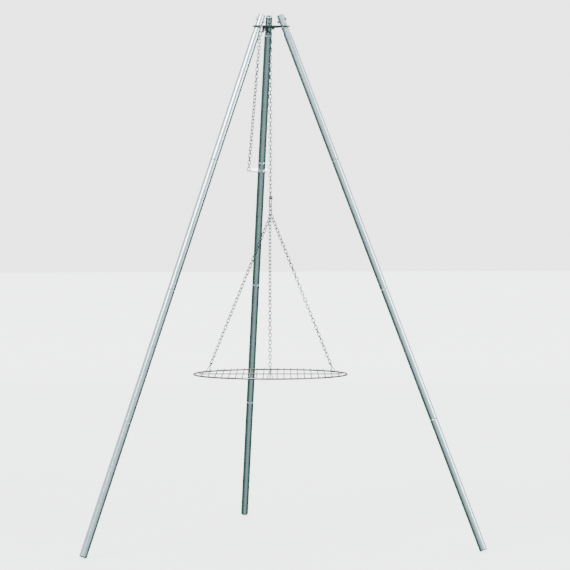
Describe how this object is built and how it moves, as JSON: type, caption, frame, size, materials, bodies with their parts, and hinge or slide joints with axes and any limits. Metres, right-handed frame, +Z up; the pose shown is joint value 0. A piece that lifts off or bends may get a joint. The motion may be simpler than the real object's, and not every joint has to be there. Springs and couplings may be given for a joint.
{
  "type": "campfire tripod with hanging grate",
  "caption": "Campfire cooking tripod of plug-together tube legs, with a round wire grate hung on chains from a swivel snap hook and raised by a chain to a cleat on one leg.",
  "frame": {"origin": "on the ground, at the middle of the bounding box", "axes": "+Z up; +Y towards the leg that carries the cleat; the other legs stand at -Y, one on each side of the YZ plane; +X to the right of them seen from -Y"},
  "size_m": [1.1338, 0.9848, 1.5103],
  "materials": {
    "leg_tube": "zinc plated, satin",
    "plate_and_bows": "dark zinc, satin",
    "fasteners": "zinc plated",
    "chain": "zinc plated, dull",
    "snap_hook": "nickel plated, dull",
    "swivel_eye": "dark steel",
    "grate_wire": "nickel plated, satin"
  },
  "bodies": {
    "head": {"head_plate": "plate_and_bows", "run_bow": "plate_and_bows", "tail_bow": "plate_and_bows", "chain_crown": "chain"},
    "back_leg": {"back_tube_1": "leg_tube", "back_tube_2": "leg_tube", "back_tube_3": "leg_tube", "back_tube_4": "leg_tube", "back_hinge_pin": "fasteners", "back_pull_ring": "fasteners", "back_stop_bolt": "fasteners", "back_stop_nut": "fasteners", "chain_tail": "chain"},
    "left_leg": {"left_tube_1": "leg_tube", "left_tube_2": "leg_tube", "left_tube_3": "leg_tube", "left_tube_4": "leg_tube", "left_hinge_pin": "fasteners", "left_pull_ring": "fasteners", "left_stop_bolt": "fasteners", "left_stop_nut": "fasteners"},
    "right_leg": {"right_tube_1": "leg_tube", "right_tube_2": "leg_tube", "right_tube_3": "leg_tube", "right_tube_4": "leg_tube", "right_hinge_pin": "fasteners", "right_pull_ring": "fasteners", "right_stop_bolt": "fasteners", "right_stop_nut": "fasteners"},
    "cleat_slide": {"cleat": "fasteners"},
    "run_top": {"run_top_link": "chain"},
    "run": {"chain_run": "chain"},
    "eye": {"swivel_eye": "swivel_eye"},
    "hook_and_grate": {"snap_hook": "snap_hook", "gate_rivet": "fasteners", "hook_link": "chain", "gather_link": "chain", "grate_chain_front": "chain", "grate_chain_left": "chain", "grate_chain_right": "chain", "hanger_front": "grate_wire", "hanger_left": "grate_wire", "hanger_right": "grate_wire", "grate_rim": "grate_wire", "grate_bars": "grate_wire", "grate_cross_bar": "grate_wire"},
    "gate": {"snap_gate": "snap_hook"}
  },
  "joints": [
    {"name": "back_leg_fold", "type": "hinge", "parent": "head", "child": "back_leg", "pos_m": [0, -0.11572, 1.47075], "axis": [1, 0, 0], "range_deg": [-8, 0]},
    {"name": "left_leg_fold", "type": "hinge", "parent": "head", "child": "left_leg", "pos_m": [-0.03867, -0.1827, 1.47075], "axis": [-0.5, 0.866, 0], "range_deg": [-8, 0]},
    {"name": "right_leg_fold", "type": "hinge", "parent": "head", "child": "right_leg", "pos_m": [0.03867, -0.1827, 1.47075], "axis": [-0.5, -0.866, 0], "range_deg": [-8, 0]},
    {"name": "chain_swing_y", "type": "hinge", "parent": "head", "child": "run_top", "pos_m": [0, -0.16037, 1.4586], "axis": [0, 1, 0], "range_deg": [-3, 3]},
    {"name": "chain_swing_x", "type": "hinge", "parent": "run_top", "child": "run", "pos_m": [0, -0.16037, 1.44745], "axis": [-1, 0, 0], "range_deg": [-3, 3]},
    {"name": "grate_lift", "type": "slide", "parent": "run", "child": "eye", "axis": [0, 0, 1], "range_m": [-0.1, 0.1], "deforming": ["chain_run"]},
    {"name": "cleat_travel", "type": "slide", "parent": "back_leg", "child": "cleat_slide", "axis": [0, 0.3778, -0.9259], "range_m": [-0.102, 0.102], "deforming": ["chain_tail"]},
    {"name": "hook_swivel", "type": "hinge", "parent": "eye", "child": "hook_and_grate", "pos_m": [0, -0.16037, 0.99847], "axis": [0, 0, 1], "continuous": true},
    {"name": "gate_open", "type": "hinge", "parent": "hook_and_grate", "child": "gate", "pos_m": [0.00325, -0.15712, 0.98327], "axis": [-0.7071, 0.7071, 0], "range_deg": [0, 12], "stiffness_Nm_per_rad": 0.02, "springref_deg": -17.19}
  ],
  "couplings": [
    {"joint": "cleat_travel", "follows": "grate_lift", "ratio": 1.0055}
  ]
}
